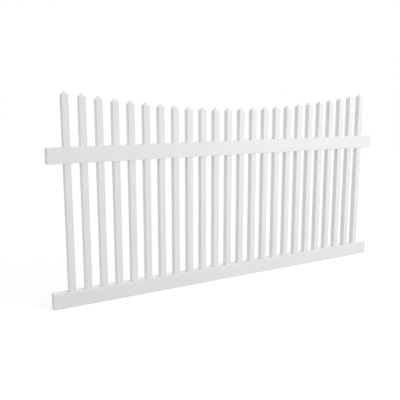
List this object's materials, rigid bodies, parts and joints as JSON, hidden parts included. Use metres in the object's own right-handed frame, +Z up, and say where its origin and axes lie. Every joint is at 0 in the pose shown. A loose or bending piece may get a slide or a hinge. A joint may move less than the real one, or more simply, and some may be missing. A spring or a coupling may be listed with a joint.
{
  "type": "scalloped picket fence panel",
  "caption": "White vinyl fence panel: hollow square pickets with pyramid caps pass through a top rail and stand in a bottom rail, their tips on a curve that dips in the middle.",
  "frame": {"origin": "middle of the bottom rail's left end face", "axes": "+X along the rails to the right end, +Y through the panel from front to back, +Z up"},
  "size_m": [2.4384, 0.0508, 1.2191],
  "materials": {
    "rail_vinyl": "white satin extruded vinyl",
    "picket_vinyl": "white satin extruded vinyl",
    "cap_vinyl": "white satin moulded vinyl"
  },
  "bodies": {
    "root": {"bottom_rail": "rail_vinyl", "top_rail": "rail_vinyl", "picket_01": "picket_vinyl", "picket_02": "picket_vinyl", "picket_03": "picket_vinyl", "picket_04": "picket_vinyl", "picket_05": "picket_vinyl", "picket_06": "picket_vinyl", "picket_07": "picket_vinyl", "picket_08": "picket_vinyl", "picket_09": "picket_vinyl", "picket_10": "picket_vinyl", "picket_11": "picket_vinyl", "picket_12": "picket_vinyl", "picket_13": "picket_vinyl", "picket_14": "picket_vinyl", "picket_15": "picket_vinyl", "picket_16": "picket_vinyl", "picket_17": "picket_vinyl", "picket_18": "picket_vinyl", "picket_19": "picket_vinyl", "picket_20": "picket_vinyl", "picket_21": "picket_vinyl", "picket_22": "picket_vinyl", "picket_23": "picket_vinyl", "picket_24": "picket_vinyl", "picket_caps": "cap_vinyl", "rail_end_plugs": "cap_vinyl"}
  },
  "joints": []
}
